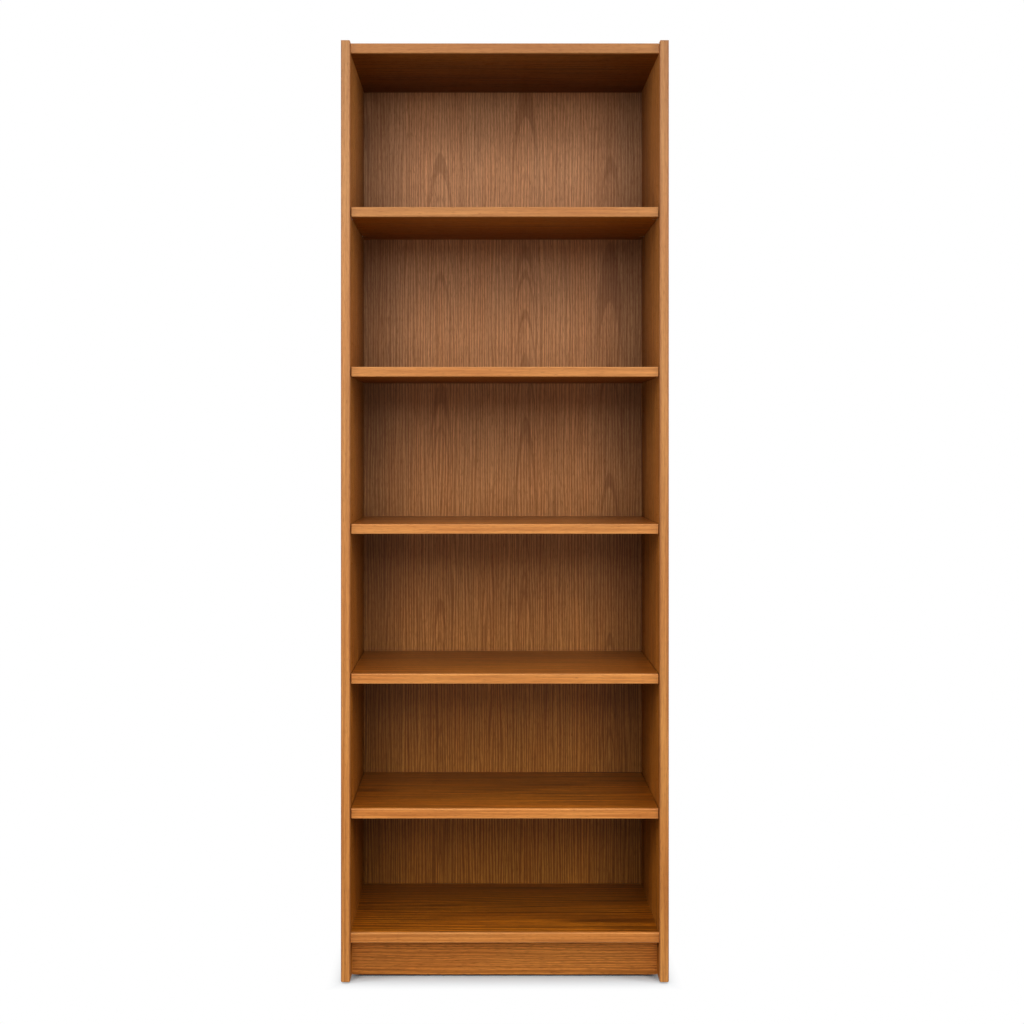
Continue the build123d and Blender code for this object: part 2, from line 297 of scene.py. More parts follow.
solidLipping = {
    **backVeneer,
    "light": paint(214, 147, 81),
    "dark": paint(150, 85, 37),
    "warm": paint(201, 123, 59),
    "pore": paint(104, 55, 24),
    "wearAndPaintedLight": paint(228, 172, 114),  # painted highlight along the arrises
    # painted light: the tint changes with height as the light does
    "paintedLight": [("z", overHeight, tint(1.02, 0.92, 0.70), tint(0.94, 0.93, 0.94))],
    "arrisPaintShare": 0.18,
    "lineWidth": 0.0044,
    "lineReach": 3.2,
    "lineDepth": 0.62,
    "ringShare": 0.0,
    "dashDepth": 0.20,
    "archDepth": 0.0,
    "leafWidth": 3.0,
    "leafStart": -0.03,
    "sway": 0.004,
    "quiver": 0.0009,
    "poreDepth": 0.30,
    "gloss": 0.22,
    "roughness": 0.42,
}
sideLipping = {
    **solidLipping,
    "wearAndPaintedLight": paint(132, 78, 40),  # painted shade along the edges, a little darker
    "paintedLight": [
        # painted light by height, and painted shade near the top
        ("z", overHeight, tint(1.06, 1.03, 0.87), tint(0.86, 0.92, 1.13)),
        ("z", sideTops, plain, tint(0.90, 0.91, 0.92)),
    ],
    "arrisPaintShare": 0.75,
}
layers = {  # scale of each layer's noise and its stretch along the grain
    "sway": (7.0, 0.30),
    "quiver": (70.0, 0.14),
    "dashes": (760.0, 0.06),
    "fibres": (620.0, 0.03),
    "pores": (1300.0, 0.06),
    "tone": (20.0, 0.16),
}
spans = {  # levels of the noise between which a mark grows from nothing to full
    "dashes": (0.46, 0.68),
    "fibres": (0.45, 0.75),
    "pores": (0.62, 0.74),
    "tone": (0.34, 0.68),
    "arches": (0.53, 0.63),
}
figure = {
    "leafStep": 5.0,  # leaves and boards lie apart in the noise, so no two are alike
    "boardStep": 3.3,
    "archLeafStep": 9.0,
    "archBoardStep": 7.7,
    "depthScale": 20.0,
    "driftStretch": (0.12, 0.5, 1.0),
    "ringHeight": 0.25,  # against the spread of the lines' noise
    "archRun": 0.8,
    "archCore": 0.3,  # share of the arches' reach over which they are full
    "pithShift": 0.4,  # metres along the board, by chance from leaf to leaf
    "toneDepth": 0.40,
    "fibreDepth": 0.35,
}
core = {  # pressed chips between the two veneers
    "chip": paint(196, 158, 110),
    "shadow": paint(128, 92, 56),
    "pale": paint(222, 192, 148),
    "veneer": 0.0007,
    "band": 0.0004,
    "softEdge": 0.8,  # a layer fades out over the last of its thickness
    "chipScale": 640.0,
    "chipStretch": (1, 1, 0.45),
    "crumbScale": 1280.0,
    "toneShare": 0.6,  # of chips and of crumbs alike
    "shadowSpan": (0.3, 1.0),
    "paleSpan": (0.70, 0.95),
}
endBand = {  # strip of veneer on a board's ends
    "fineness": 2,
    "lineDepth": 0.8,
}
hardboard = {  # rear face of the back panel
    "face": paint(150, 108, 70),
    "dark": paint(112, 76, 46),
    "fleck": paint(184, 146, 104),
    "veneerSpan": (0.0003, 0.0006),
    "fluffScale": 260.0,
    "fluffSpan": (0.35, 0.70),
    "fluffDepth": 0.8,
    "fleckScale": 900.0,
    "fleckStretch": (1, 1, 0.5),
    "fleckSpan": (0.60, 0.72),
    "fleckDepth": 0.5,
}
# where the painted highlight and shade lie along a lipping's arrises
paintedArrisSpread = {
    "reach": (0.0008, 0.0024),
    "patchScale": 160.0,
    "patchStretch": (1, 1, 0.25),
    "patchSpan": (0.25, 0.60),
    "patchShare": 0.4,
}
woodSurface = {
    "fibreRoughness": 0.16,
    "poreRoughness": 0.20,
    "cutRoughness": 0.85,
    "fibreHeight": 0.5,
    "lineHeight": 0.4,
    "reliefDepth": 0.0003,
    "reliefStrength": 0.25,
    "coatRoughness": 0.30,
    "coatSpan": (0.6, 0.9),  # upper part of the board's half thickness
}
seedStep = Vector((3.71, 1.93, 5.37))  # each board is cut from its own place in the wood


def layer(grain, name, detail=1.0, roughness=0.5, output="Fac"):
    scale, stretch = layers[name]
    return noise(scaled(grain, (1, 1, stretch)), scale, detail, roughness, output)


# Lines by chance, with even growth rings under them where the wood shows any
def growthLines(spots, sideways, wood):
    lines = noise(spots, 1.0, detail=2.0, roughness=0.60)
    share = wood["ringShare"]
    if share:
        drift = noise(scaled(spots, figure["driftStretch"]), 1.0)
        rings = sideways / wood["ringWidth"] + drift * wood["ringDrift"]
        rings = rings.math("COSINE", rings * math.tau)
        lines = (lines - 0.5) * (1 - share) + rings * (figure["ringHeight"] * share) + 0.5
    return ease(lines, *wood["lineEdge"])


# The pattern's layers, in the board's own directions along, across and into the wood
def woodParts(start, wood, run, middle, seed):
    places = splitUp(start.add("ShaderNodeTexCoord", output="Object"))
    along, across, inward = [places[axis] - middle["xyz".index(axis)] for axis in run]
    grain = moved(vectorOf(start, across, inward, along), seedStep * seed)
    leaf = (across - wood["leafStart"]) / wood["leafWidth"] + 0.5
    leaf = leaf.math("FLOOR", leaf)
    sway = splitUp(layer(grain, "sway", output="Color"))
    quiver = splitUp(layer(grain, "quiver", output="Color"))
    sideways = across - leaf * wood["leafWidth"] - wood["leafStart"]
    sideways = sideways + (sway["x"] - 0.5) * (2 * wood["sway"]) + (quiver["x"] - 0.5) * (2 * wood["quiver"])
    spots = vectorOf(
        start,
        sideways / wood["lineWidth"],
        along * wood["lineReach"] + leaf * figure["leafStep"],
        inward * figure["depthScale"] + seed * figure["boardStep"],
    )
    parts = {
        **places,
        "beside": places["x"].math("ABSOLUTE", places["x"]),
        "inward": inward,
        "across": across,
        "along": along,
        "grain": grain,
        "lines": growthLines(spots, sideways, wood),
        "dashes": ease(layer(grain, "dashes"), *spans["dashes"]),
        "fibres": layer(grain, "fibres", detail=2.0, roughness=0.6),
        "pores": ease(layer(grain, "pores", detail=0.0), *spans["pores"]),
        "tone": layer(grain, "tone"),
    }
    if wood["archDepth"]:
        climb = (along + chance(leaf + seed) * figure["pithShift"]) * wood["pithSlope"]
        deep = inward + climb + wood["pithDepth"] + (sway["y"] - 0.5) * wood["sway"]
        radius = deep.math("SQRT", sideways * sideways + deep * deep)
        aside = sideways.math("ABSOLUTE", sideways)
        nearPith = 1 - ease(aside, wood["archReach"] * figure["archCore"], wood["archReach"])
        spots = vectorOf(
            start,
            radius / wood["archWidth"],
            along * figure["archRun"] + leaf * figure["archLeafStep"],
            inward * figure["depthScale"] + seed * figure["archBoardStep"],
        )
        parts["arches"] = ease(noise(spots, 1.0), *spans["arches"]) * nearPith
    return parts


def woodColour(parts, wood):
    tone = ease(parts["tone"], *spans["tone"])
    colour = blendColours(tone * figure["toneDepth"], wood["light"], wood["warm"])
    depth = wood["lineDepth"] - parts["z"] * wood["lineFade"]
    colour = blendColours(parts["lines"] * depth, colour, wood["dark"])
    if "arches" in parts:
        colour = blendColours(parts["arches"] * wood["archDepth"], colour, wood["dark"])
    colour = blendColours(parts["dashes"] * wood["dashDepth"], colour, wood["dark"])
    fibres = ease(parts["fibres"], *spans["fibres"])
    colour = blendColours(fibres * figure["fibreDepth"], colour, wood["dark"])
    colour = blendColours(parts["pores"] * wood["poreDepth"], colour, wood["pore"])
    # painted light and shade, tint by tint
    for way, span, first, last in wood["paintedLight"]:
        colour = tinted(colour, blendColours(ease(parts[way], *span), first, last))
    return colour


def inside(value, half, margin):
    depth = half - value.math("ABSOLUTE", value)
    return ease(depth, margin * core["softEdge"], margin)


# Ends of a board wear a strip of veneer whose grain runs across the board
def bandedColour(parts, colour, wood, halves):
    mask = 1 - inside(parts["along"], halves[0], core["band"])
    spots = vectorOf(
        mask,
        parts["inward"] / wood["lineWidth"] * endBand["fineness"],
        parts["across"] * wood["lineReach"] * endBand["fineness"],
    )
    lines = ease(noise(spots, 1.0, detail=3.0, roughness=0.7), *wood["lineEdge"])
    strip = blendColours(lines * endBand["lineDepth"], wood["light"], wood["dark"])
    return blendColours(mask, colour, strip)


# Pressed chips show where a board is cut across: rear edges, holes and notches, but not its banded ends
def coreColour(parts, colour, halves):
    betweenVeneers = inside(parts["inward"], halves[2], core["veneer"])
    mask = betweenVeneers * inside(parts["along"], halves[0], core["band"])
    cells = {"Vector": scaled(parts["grain"], core["chipStretch"]), "Scale": core["chipScale"]}
    tones = splitUp(mask.add("ShaderNodeTexVoronoi", {}, cells, "Color"))
    crumbs = noise(parts["grain"], core["crumbScale"], detail=2.0, roughness=0.7)
    shadow = ease(tones["x"] * core["toneShare"] + crumbs * core["toneShare"], *core["shadowSpan"])
    chips = blendColours(shadow, core["chip"], core["shadow"])
    chips = blendColours(ease(tones["y"], *core["paleSpan"]), chips, core["pale"])
    return blendColours(mask, colour, chips), mask, tones["z"]


def hardboardColour(parts, colour, frontFace):
    mask = ease(parts["y"], *[frontFace + depth for depth in hardboard["veneerSpan"]])
    fluff = noise(parts["grain"], hardboard["fluffScale"], detail=3.0, roughness=0.7)
    flecks = noise(scaled(parts["grain"], hardboard["fleckStretch"]), hardboard["fleckScale"])
    shade = ease(fluff, *hardboard["fluffSpan"]) * hardboard["fluffDepth"]
    sheet = blendColours(shade, hardboard["face"], hardboard["dark"])
    shade = ease(flecks, *hardboard["fleckSpan"]) * hardboard["fleckDepth"]
    sheet = blendColours(shade, sheet, hardboard["fleck"])
    return blendColours(mask, colour, sheet), mask, fluff


# Long edges of a lipping: a painted highlight on the shelves' lippings and painted shade on the sides'
# lippings
def paintedArrisColour(parts, colour, wood, halves):
    gap = halves[1] - parts["across"].math("ABSOLUTE", parts["across"])
    patch = noise(scaled(parts["grain"], paintedArrisSpread["patchStretch"]), paintedArrisSpread["patchScale"])
    patch = ease(patch, *paintedArrisSpread["patchSpan"])
    patch = patch * paintedArrisSpread["patchShare"] + (1 - paintedArrisSpread["patchShare"])
    mask = (1 - ease(gap, *paintedArrisSpread["reach"])) * patch
    return blendColours(mask * wood["arrisPaintShare"], colour, wood["wearAndPaintedLight"])


def woodFinish(node, wood, run, seed):
    material, start = startMaterial(node)
    low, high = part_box(node)
    middle = (low + high) / 2
    halves = [(high - low)["xyz".index(axis)] / 2 for axis in run]
    parts = woodParts(start, wood, run, middle, seed)
    colour = woodColour(parts, wood)
    roughness = parts["fibres"] * woodSurface["fibreRoughness"]
    roughness = roughness + parts["pores"] * woodSurface["poreRoughness"]
    roughness = roughness + (wood["roughness"] - woodSurface["fibreRoughness"] / 2)
    height = parts["fibres"] * woodSurface["fibreHeight"] - parts["pores"]
    height = height - parts["lines"] * woodSurface["lineHeight"]
    if node.endswith("_lipping"):
        colour = paintedArrisColour(parts, colour, wood, halves)
    else:
        if node == "back_panel":
            colour, mask, relief = hardboardColour(parts, colour, low.y)
        else:
            colour = bandedColour(parts, colour, wood, halves)
            colour, mask, relief = coreColour(parts, colour, halves)
        roughness = roughness * (1 - mask) + mask * woodSurface["cutRoughness"]
        height = height * (1 - mask) + mask * relief
    upperFace = ease(parts["inward"], *[halves[2] * share for share in woodSurface["coatSpan"]])
    shader = start.add("ShaderNodeBsdfPrincipled", {}, {
        "Base Color": colour,
        "Roughness": roughness,
        "Specular IOR Level": wood["gloss"],
        "Coat Weight": upperFace * wood["lacquer"],
        "Coat Roughness": woodSurface["coatRoughness"],
        "Normal": bumped(height, woodSurface["reliefDepth"], woodSurface["reliefStrength"]),
    })
    closeMaterial(start, shader)
    return material


def toned(wood, level):
    tones = ("light", "dark", "warm", "wearAndPaintedLight")
    return {**wood, **{key: tint(*[level * c for c in wood[key][:3]]) for key in tones}}


def dress(node, material):
    for slot in nodes[node].material_slots:
        slot.material = material


# Woods and grain runs by the ends of the nodes' names: axes along, across and into the board
woodOf = {
    "back_panel": (backVeneer, "zxy"),
    "plinth_board": (plinthVeneer, "xzy"),
    "_side_panel": (sideVeneer, "zyx"),
    "_side_lipping": (sideLipping, "zxy"),
    "top_panel": (topVeneer, "xyz"),
    "_board": (boardVeneer, "xyz"),
    "_panel": (boardVeneer, "xyz"),
    "_lipping": (solidLipping, "xzy"),
}
# Painted light: each lipping's brightness is scaled on its own, darkest on the top panel's and brightest on
# shelf 1's
lippingLightLevels = {
    "top": 0.80,
    "left_side": 1.03,
    "right_side": 0.98,
    "shelf_5": 0.92,
    "shelf_4": 1.05,
    "shelf_3": 1.12,
    "shelf_2": 1.16,
    "shelf_1": 1.20,
    "bottom": 1.07,
}
for seed, node in enumerate(sorted(nodes)):
    ending = next((end for end in woodOf if node.endswith(end)), None)
    if ending:
        wood, run = woodOf[ending]
        if ending.endswith("_lipping"):
            wood = toned(wood, lippingLightLevels[node.removesuffix("_lipping")])
        dress(node, woodFinish(node, wood, run, seed))
print("wood finishes ready")


# Fasteners. Each shape is drawn once in a node tree and set wherever the solids hold one.
facets = {  # sides of each round shape
    "screw": 28,
    "thread": 14,
    "camLock": 40,
    "camSocket": 20,
    "camPocket": 24,
    "camBolt": 24,
    "dowel": 84,
    "cap": 48,
    "glide": 32,
    "pin": 32,
}
threadShape = {
    "rowsPerTurn": 5,
    "flank": (0.35, 0.95),  # from the root to the crest, as shares of half a turn
    "pointShare": 0.25,  # of the full radius, at the very tip
}
mergeDistance = 1e-6
sharpAngle = math.radians(38)
overshoot = 0.001  # of a cutter past the face it cuts


def newTree(name, sizes):
    tree = bpy.data.node_groups.new(name, "GeometryNodeTree")
    tree.interface.new_socket("Places", in_out="INPUT", socket_type="NodeSocketGeometry")
    for size, value in sizes.items():
        kind = "NodeSocketInt" if isinstance(value, int) else "NodeSocketFloat"
        tree.interface.new_socket(size, in_out="INPUT", socket_type=kind)
    tree.interface.new_socket("Pieces", in_out="OUTPUT", socket_type="NodeSocketGeometry")
    start = Wire(tree)
    points = start.add("NodeGroupInput")
    return start, points, {size: points.other(size) for size in sizes}


# A turned shape from bottom to top: rows of radius and height, with an optional change of radius by angle
def turnedShape(start, rows, around, shaped=None):
    grid = {"Size X": 1.0, "Size Y": 1.0, "Vertices X": around + 1, "Vertices Y": len(rows)}
    sheet = start.add("GeometryNodeMeshGrid", {}, grid)
    place = splitUp(start.add("GeometryNodeInputPosition"))
    angle = (place["x"] + 0.5) * math.tau
    row = place["y"].math("ROUND", (place["y"] + 0.5) * (len(rows) - 1))
    picks = {"data_type": "FLOAT", "index_switch_items": len(rows)}
    radius, height = [
        start.add("GeometryNodeIndexSwitch", picks, {0: row, **{n + 1: r[part] for n, r in enumerate(rows)}})
        for part in (0, 1)
    ]
    radius = shaped(radius, angle) if shaped else radius
    spot = vectorOf(start, radius * angle.math("COSINE", angle), radius * angle.math("SINE", angle), height)
    shape = start.add("GeometryNodeSetPosition", {}, {"Geometry": sheet, "Position": spot})
    return start.add("GeometryNodeMergeByDistance", {}, {"Geometry": shape, "Distance": mergeDistance})


# A threaded rod from its pointed lower end up
def threadedRod(start, radius, low, length, pitch, depth, turns, point):
    rod = start.add("GeometryNodeMeshCylinder", {}, {
        "Vertices": facets["thread"],
        "Side Segments": turns * threadShape["rowsPerTurn"],
        "Radius": radius,
        "Depth": length,
    })
    place = splitUp(start.add("GeometryNodeInputPosition"))
    turn = place["x"].math("ARCTAN2", place["y"], place["x"]) / math.tau
    wave = place["z"] / pitch - turn
    wave = wave.math("PINGPONG", wave, 0.5) * 2
    groove = (1 - ease(wave, *threadShape["flank"])) * (depth / radius)
    taper = (place["z"] + length * 0.5) / point
    taper = taper.math("MINIMUM", taper, 1.0) * (1 - threadShape["pointShare"]) + threadShape["pointShare"]
    shrink = (1 - groove) * taper
    spot = vectorOf(start, place["x"] * shrink, place["y"] * shrink, place["z"] + low + length * 0.5)
    return start.add("GeometryNodeSetPosition", {}, {"Geometry": rod, "Position": spot})


def setAt(start, shape, middle, turn=(0, 0, 0)):
    values = {"Geometry": shape, "Translation": vectorOf(start, *middle), "Rotation": turn}
    return start.add("GeometryNodeTransform", {}, values)


def blockShape(start, size, middle, turn=(0, 0, 0)):
    cube = start.add("GeometryNodeMeshCube", {}, {"Size": vectorOf(start, *size)})
    return setAt(start, cube, middle, turn)


def crossShape(start, size, level):
    return [blockShape(start, size, (0.0, 0.0, level), (0, 0, turn)) for turn in (0, math.pi / 2)]


def joinSolids(start, shapes):
    settings = {"operation": "UNION", "solver": "MANIFOLD"}
    return start.add("GeometryNodeMeshBoolean", settings, {"Mesh 2": shapes})


def cutAway(start, shape, cutters):
    settings = {"operation": "DIFFERENCE", "solver": "MANIFOLD"}
    return start.add("GeometryNodeMeshBoolean", settings, {"Mesh 1": shape, "Mesh 2": cutters})


# Sets the shape at every place, turned as the place says and rolled by chance where a roll is allowed
def closeTree(start, points, shape, material, roll=0.0, seed=0):
    held = start.add("GeometryNodeInputNamedAttribute", {"data_type": "FLOAT_VECTOR"}, {"Name": "turn"})
    turn = start.add("FunctionNodeEulerToRotation", {}, {"Euler": held})
    luck = start.add("FunctionNodeRandomValue", {"data_type": "FLOAT"}, {2: 0.0, 3: roll, 8: seed}, output=1)
    spin = start.add("FunctionNodeAxisAngleToRotation", {}, {"Axis": (0, 0, 1), "Angle": luck})
    turn = start.add("FunctionNodeRotateRotation", {"rotation_space": "LOCAL"}, {0: turn, 1: spin})
    values = {"Points": points, "Instance": shape, "Rotation": turn}
    pieces = start.add("GeometryNodeInstanceOnPoints", {}, values)
    pieces = start.add("GeometryNodeRealizeInstances", {}, {"Geometry": pieces})
    pieces = start.add("GeometryNodeSetMaterial", {}, {"Geometry": pieces, "Material": material})
    start.add("NodeGroupOutput", {}, {0: pieces})


# Corners of each separate solid in a node, from a merged copy of its mesh
def solidBoxes(node):
    copy = bmesh.new()
    copy.from_mesh(nodes[node].data)
    bmesh.ops.remove_doubles(copy, verts=copy.verts, dist=mergeDistance)
    boxes, seen = [], set()
    for first in copy.verts:
        if first in seen:
            continue
        group, waiting = [], [first]
        seen.add(first)
        while waiting:
            corner = waiting.pop()
            group.append(corner.co.copy())
            fresh = [e.other_vert(corner) for e in corner.link_edges if e.other_vert(corner) not in seen]
            seen.update(fresh)
            waiting.extend(fresh)
        low, high = [Vector([pick(c[axis] for c in group) for axis in range(3)]) for pick in (min, max)]
        boxes.append((low, high))
    copy.free()
    return boxes


# A place is a seat with a facing, which becomes the shape's +Z, and a side that its +X turns to
def placeAt(seat, facing, side):
    facing, side = Vector(facing), Vector(side)
    turn = Matrix((side, facing.cross(side), facing)).transposed()
    return seat, turn.to_euler()


# Seats at the lower ends of a node's solids along their facing
def seatsBelow(node, facing, side):
    axis = facing.index(1)
    places = []
    for low, high in solidBoxes(node):
        seat = (low + high) / 2
        seat[axis] = low[axis]
        places.append(placeAt(seat, facing, side))
    return places


# Seats under the heads of a node's solids
def seatsUnderHeads(node, facing, headHeight):
    axis = facing.index(1)
    places = []
    for low, high in solidBoxes(node):
        seat = (low + high) / 2
        seat[axis] = high[axis] - headHeight
        places.append(placeAt(seat, facing, (1, 0, 0)))
    return places


def outward(low, high):
    return math.copysign(1.0, low.x + high.x)


# Seats at the outer ends of a node's solids, which face the middle of the case
def seatsInSides(node):
    places = []
    for low, high in solidBoxes(node):
        side = outward(low, high)
        seat = (low + high) / 2
        seat.x = side * max(abs(low.x), abs(high.x))
        places.append(placeAt(seat, (-side, 0, 0), (0, 0, 1)))
    return places


def setFasteners(name, start, sizes, places, replaced):
    mesh = bpy.data.meshes.new(name)
    mesh.from_pydata([seat for seat, turn in places], [], [])
    turns = mesh.attributes.new("turn", "FLOAT_VECTOR", "POINT")
    turns.data.foreach_set("vector", [angle for seat, turn in places for angle in turn])
    piece = bpy.data.objects.new(name, mesh)
    scene.collection.objects.link(piece)
    maker = piece.modifiers.new(name, "NODES")
    maker.node_group = start.tree
    for socket in start.tree.interface.items_tree:
        if socket.name in sizes:
            maker[socket.identifier] = sizes[socket.name]
    made = piece.evaluated_get(bpy.context.evaluated_depsgraph_get())
    piece.data = bpy.data.meshes.new_from_object(made)
    piece.modifiers.clear()
    piece.data.shade_smooth()
    piece.data.set_sharp_from_angle(angle=sharpAngle)
    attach(piece, "carcase")
    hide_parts(*replaced)
    print(name, len(places), "places,", len(piece.data.polygons), "faces")


# Finishes of the small parts
zincPlate = {
    "bright": paint(208, 210, 212),
    "dull": paint(168, 168, 162),
    "tint": paint(206, 198, 170),  # yellowish passivation
    "metallic": 1.0,
    "roughness": 0.30,
    "grainScale": 900.0,
    "relief": 0.00004,
}
castMetal = {
    "bright": paint(186, 184, 180),
    "dull": paint(140, 138, 134),
    "tint": paint(164, 160, 152),
    "metallic": 0.9,
    "roughness": 0.46,
    "grainScale": 2200.0,
    "relief": 0.00008,
}
brownPlastic = {
    "bright": paint(86, 54, 34),
    "dull": paint(62, 37, 22),
    "tint": paint(98, 66, 44),
    "metallic": 0.0,
    "roughness": 0.44,
    "grainScale": 1600.0,
    "relief": 0.00006,
}
dowelWood = {
    "bright": paint(218, 182, 132),
    "dull": paint(182, 138, 90),
    "tint": paint(206, 160, 106),
    "metallic": 0.0,
    "roughness": 0.62,
    "grainScale": 500.0,
    "relief": 0.0001,
}
dowelStretch = (0.06, 1, 1)  # dowels lie along X
handling = {  # clouds and rubbed spots on every small part
    "grainSpan": (0.35, 0.65),
    "cloudScale": 60.0,
    "cloudSpan": (0.40, 0.65),
    "cloudDepth": 0.6,
    "rubScale": 240.0,
    "rubSpan": (0.58, 0.74),
    "rubDepth": 0.35,
    "roughnessSpread": 0.14,
    "rubHeight": 0.5,
    "reliefStrength": 0.4,
}


def smallFinish(name, look, stretch=(1, 1, 1)):
    material, start = startMaterial(name)
    coords = scaled(start.add("ShaderNodeTexCoord", output="Object"), stretch)
    grain = noise(coords, look["grainScale"], detail=2.0, roughness=0.6)
    clouds = noise(coords, handling["cloudScale"], detail=2.0)
    rubbed = noise(moved(coords, seedStep), handling["rubScale"], detail=3.0, roughness=0.7)
    colour = blendColours(ease(grain, *handling["grainSpan"]), look["bright"], look["dull"])
    cloudy = ease(clouds, *handling["cloudSpan"]) * handling["cloudDepth"]
    colour = blendColours(cloudy, colour, look["tint"])
    wearAndPaintedLight = ease(rubbed, *handling["rubSpan"]) * handling["rubDepth"]
    colour = blendColours(wearAndPaintedLight, colour, look["dull"])
    spread = handling["roughnessSpread"]
    height = grain + rubbed * handling["rubHeight"]
    shader = start.add("ShaderNodeBsdfPrincipled", {}, {
        "Base Color": colour,
        "Metallic": look["metallic"],
        "Roughness": grain * spread + rubbed * spread + (look["roughness"] - spread),
        "Normal": bumped(height, look["relief"], handling["reliefStrength"]),
    })
    closeMaterial(start, shader)
    return material


steelFinish = smallFinish("zincSteel", zincPlate)
dress("wall_brackets", steelFinish)

# Pan-head screws
screw = {
    "Head Diameter": 0.0070,
    "Head Height": 0.0022,
    "Shank Diameter": 0.0030,
    "Shank Length": 0.0160,
    "Thread Pitch": 0.0014,
    "Thread Depth": 0.0004,
    "Recess Span": 0.0038,
    "Recess Width": 0.0009,
    "Recess Depth": 0.0012,
    "Seed": 5,
}


def makeScrews():
    start, points, size = newTree("woodScrew", screw)
    radius = size["Head Diameter"] * 0.5
    height = size["Head Height"]
    rim = 0.3  # share of the head's height below its dome
    steps = [math.radians(angle) for angle in range(0, 90, 18)]
    dome = [(radius * math.cos(t), height * (rim + (1 - rim) * math.sin(t))) for t in steps]
    rows = [(0.0, 0.0), (radius * 0.95, 0.0), (radius, height * 0.08), *dome, (0.0, height)]  # eased below
    head = turnedShape(start, rows, facets["screw"])
    shank = threadedRod(
        start,
        radius=size["Shank Diameter"] * 0.5,
        low=size["Shank Length"] * -1,
        length=size["Shank Length"] * 1.03,  # reaches into the head
        pitch=size["Thread Pitch"],
        depth=size["Thread Depth"],
        turns=12,
        point=0.003,
    )
    recess = (size["Recess Span"], size["Recess Width"], size["Recess Depth"] * 2)
    shape = cutAway(start, joinSolids(start, [head, shank]), crossShape(start, recess, height))
    closeTree(start, points, shape, steelFinish, math.tau, size["Seed"])
    places = seatsUnderHeads("back_panel_screws", (0, 1, 0), screw["Head Height"])
    places += seatsUnderHeads("wall_bracket_screws", (0, 0, 1), screw["Head Height"])
    replaced = ["back_panel_screws", "wall_bracket_screws"]
    setFasteners("panHeadScrews", start, screw, places, replaced)


# Cam locks, with a cross slot, a driver socket, a pocket for the bolt's head and an arrow that points to it
camLock = {
    "Diameter": 0.0148,
    "Length": 0.0132,
    "Rim Bevel": 0.0005,
    "Slot Length": 0.0090,
    "Slot Width": 0.0016,
    "Slot Depth": 0.0020,
    "Socket Diameter": 0.0040,
    "Socket Depth": 0.0030,
    "Pocket Diameter": 0.0068,
    "Pocket Depth": 0.0092,  # face to the bolt's axis
    "Pocket Start": -0.0024,
    "Arrow Size": 0.0013,
    "Arrow Depth": 0.0005,
}


def makeCamLocks():
    start, points, size = newTree("camLock", camLock)
    radius = size["Diameter"] * 0.5
    foot = size["Length"] * -1
    bevel = size["Rim Bevel"]
    rows = [
        (0.0, foot), (radius - bevel, foot), (radius, foot + bevel),
        (radius, 0 - bevel), (radius - bevel, 0.0), (0.0, 0.0),
    ]
    body = turnedShape(start, rows, facets["camLock"])
    slot = (size["Slot Length"], size["Slot Width"], size["Slot Depth"] * 2)
    cuts = crossShape(start, slot, 0.0)
    socket = size["Socket Diameter"] * 0.5
    deep = size["Socket Depth"] * -1
    rows = [(0.0, deep), (socket, deep), (socket, overshoot), (0.0, overshoot)]
    cuts.append(turnedShape(start, rows, facets["camSocket"]))
    reach = radius * 1.1 - size["Pocket Start"]  # out through the wall
    pocket = start.add("GeometryNodeMeshCylinder", {}, {
        "Vertices": facets["camPocket"],
        "Radius": size["Pocket Diameter"] * 0.5,
        "Depth": reach,
    })
    middle = (size["Pocket Start"] + reach * 0.5, 0.0, size["Pocket Depth"] * -1)
    cuts.append(setAt(start, pocket, middle, (0, math.pi / 2, 0)))
    arrow = start.add("GeometryNodeMeshCylinder", {}, {
        "Vertices": 3,
        "Radius": size["Arrow Size"],
        "Depth": size["Arrow Depth"] * 2,
    })
    cuts.append(setAt(start, arrow, (radius * 0.8, 0.0, 0.0)))  # near the rim
    closeTree(start, points, cutAway(start, body, cuts), smallFinish("castMetal", castMetal))
    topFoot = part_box("top_panel")[0].z
    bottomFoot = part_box("bottom_panel")[0].z
    places = []
    for low, high in solidBoxes("cam_locks"):
        seat = (low + high) / 2
        if seat.z > topFoot:
            facing = (0, 0, 1)
            seat.z = high.z
        elif seat.z > bottomFoot:
            facing = (0, 0, -1)
            seat.z = low.z
        else:
            facing = (0, 1, 0)
            seat.y = high.y
        places.append(placeAt(seat, facing, (outward(low, high), 0, 0)))
    setFasteners("camLocks", start, camLock, places, ["cam_locks"])


# Bolts, from the tip of the thread in the side to the head in the cam lock
camBolt = {
    "Thread Diameter": 0.0050,
    "Thread Length": 0.0120,
    "Thread Pitch": 0.0018,
    "Thread Depth": 0.0007,
    "Shank Diameter": 0.0060,
    "Shank Bevel": 0.0003,
    "Neck Diameter": 0.0035,
    "Neck Start": 0.0400,
    "Neck Length": 0.0040,
    "Neck Slope": 0.0006,
    "Head Length": 0.0040,
    "Head Slope": 0.0005,
    "Head Bevel": 0.0004,
}


